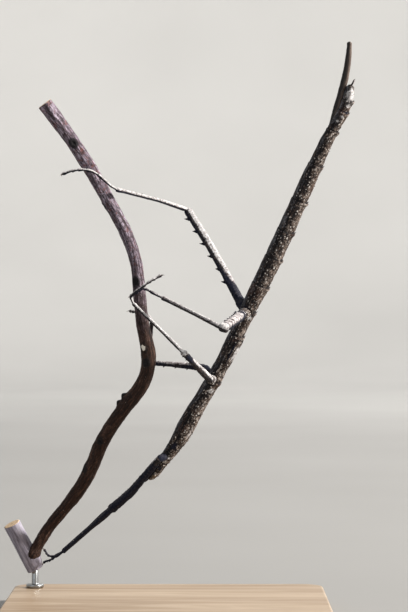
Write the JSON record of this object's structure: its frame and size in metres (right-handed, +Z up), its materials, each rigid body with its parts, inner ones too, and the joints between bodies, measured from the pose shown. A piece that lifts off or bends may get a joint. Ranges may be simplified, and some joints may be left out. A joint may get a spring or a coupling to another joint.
{
  "type": "stick insect model",
  "caption": "Life-size still model of a bark-like stick insect clinging head down to a cut twig, held on a rod over a flat display base.",
  "frame": {"origin": "centre of the underside of the display base", "axes": "+Z up, +X towards the side that the insect's back faces, -Y towards the viewer, who sees the insect's right side"},
  "size_m": [0.1514, 0.1284, 0.2424],
  "materials": {
    "cuticle": "rough, matt, bark-like cuticle, dark on the flanks and ash grey on the back",
    "pale_cuticle": "matt ash-grey cuticle with dark flecks",
    "horn": "smooth, slightly waxy dark horn",
    "eye": "glossy dark compound eye",
    "twig_bark": "dry twig bark, dark brown, weathered to grey-lilac near its top",
    "stem_bark": "smooth grey-lilac bark",
    "stand_steel": "satin steel rod",
    "stand_wood": "pale satin-varnished wood"
  },
  "bodies": {
    "root": {"prothorax": "cuticle", "mesothorax": "cuticle", "metathorax": "cuticle", "median_segment": "cuticle", "abdomen_2": "cuticle", "abdomen_3": "cuticle", "abdomen_4": "cuticle", "abdomen_5": "cuticle", "abdomen_6": "cuticle", "abdomen_7": "cuticle", "abdomen_8": "cuticle", "abdomen_9": "cuticle", "abdomen_10": "cuticle", "head": "cuticle", "coxa_fore_left": "cuticle", "femur_fore_left": "cuticle", "tibia_fore_left": "pale_cuticle", "tarsus_fore_left": "pale_cuticle", "coxa_fore_right": "cuticle", "femur_fore_right": "cuticle", "tibia_fore_right": "pale_cuticle", "tarsus_fore_right": "pale_cuticle", "coxa_mid_left": "cuticle", "femur_mid_left": "cuticle", "tibia_mid_left": "pale_cuticle", "tarsus_mid_left": "pale_cuticle", "coxa_mid_right": "cuticle", "femur_mid_right": "cuticle", "tibia_mid_right": "pale_cuticle", "tarsus_mid_right": "pale_cuticle", "coxa_hind_left": "cuticle", "femur_hind_left": "cuticle", "tibia_hind_left": "pale_cuticle", "tarsus_hind_left": "pale_cuticle", "coxa_hind_right": "cuticle", "femur_hind_right": "cuticle", "tibia_hind_right": "pale_cuticle", "tarsus_hind_right": "pale_cuticle", "antenna_left": "pale_cuticle", "antenna_right": "pale_cuticle", "tegmen_left": "pale_cuticle", "tegmen_right": "pale_cuticle", "cercus_left": "pale_cuticle", "cercus_right": "pale_cuticle", "operculum": "horn", "eye_left": "eye", "eye_right": "eye", "perch_upper": "twig_bark", "perch_middle": "twig_bark", "perch_bend": "twig_bark", "perch_lower": "twig_bark", "perch_stem": "stem_bark", "stand_rod": "stand_steel", "stand_base": "stand_wood"}
  },
  "joints": []
}
